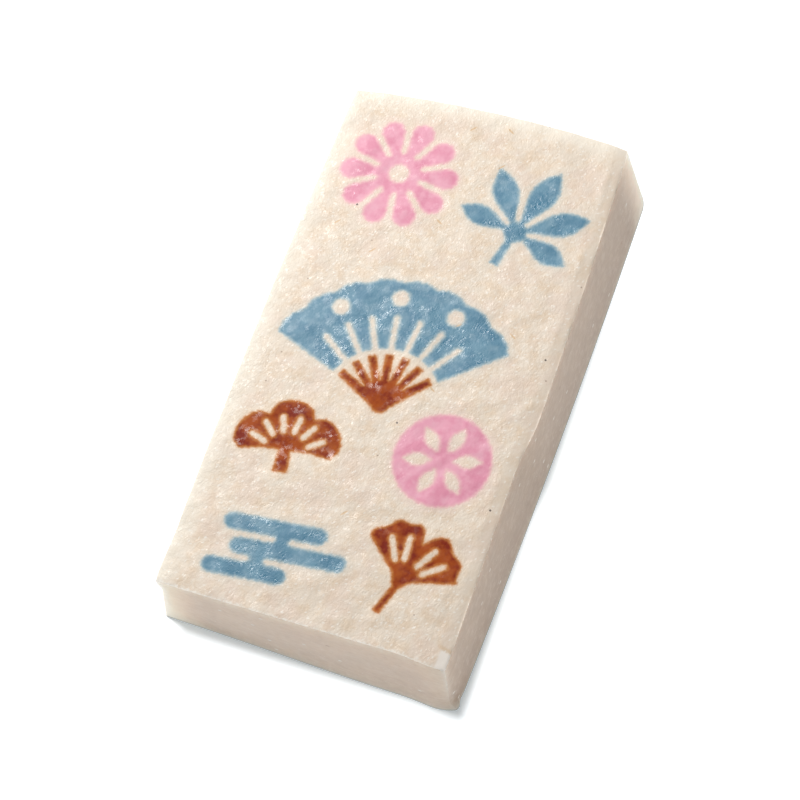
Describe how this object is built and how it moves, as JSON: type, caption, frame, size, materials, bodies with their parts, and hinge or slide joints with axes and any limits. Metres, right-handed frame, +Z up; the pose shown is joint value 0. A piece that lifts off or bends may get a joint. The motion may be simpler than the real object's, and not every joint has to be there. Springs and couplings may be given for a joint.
{
  "type": "kamaboko fish cake",
  "caption": "Rectangular block of white steamed fish cake, whole and uncut, with figures of blue, pink and brown fish paste set flush into its top.",
  "frame": {"origin": "centre of the bounding box's base, on the surface that the block rests on", "axes": "+Z up out of the decorated top, +Y along the block's length towards the end that is far away in the picture, +X to the right"},
  "size_m": [0.0668, 0.1246, 0.0203],
  "materials": {
    "cream": "moist satin, fine-grained on top",
    "blue": "moist, semi-gloss",
    "pink": "moist, semi-gloss",
    "brown": "moist, semi-gloss"
  },
  "bodies": {
    "root": {"slab": "cream", "chrysanthemum": "pink", "bamboo_spray": "blue", "fan_leaf": "blue", "fan_ribs": "brown", "pine_bough": "brown", "hand_ball": "pink", "mist_bars": "blue", "ginkgo_leaf": "brown"}
  },
  "joints": []
}
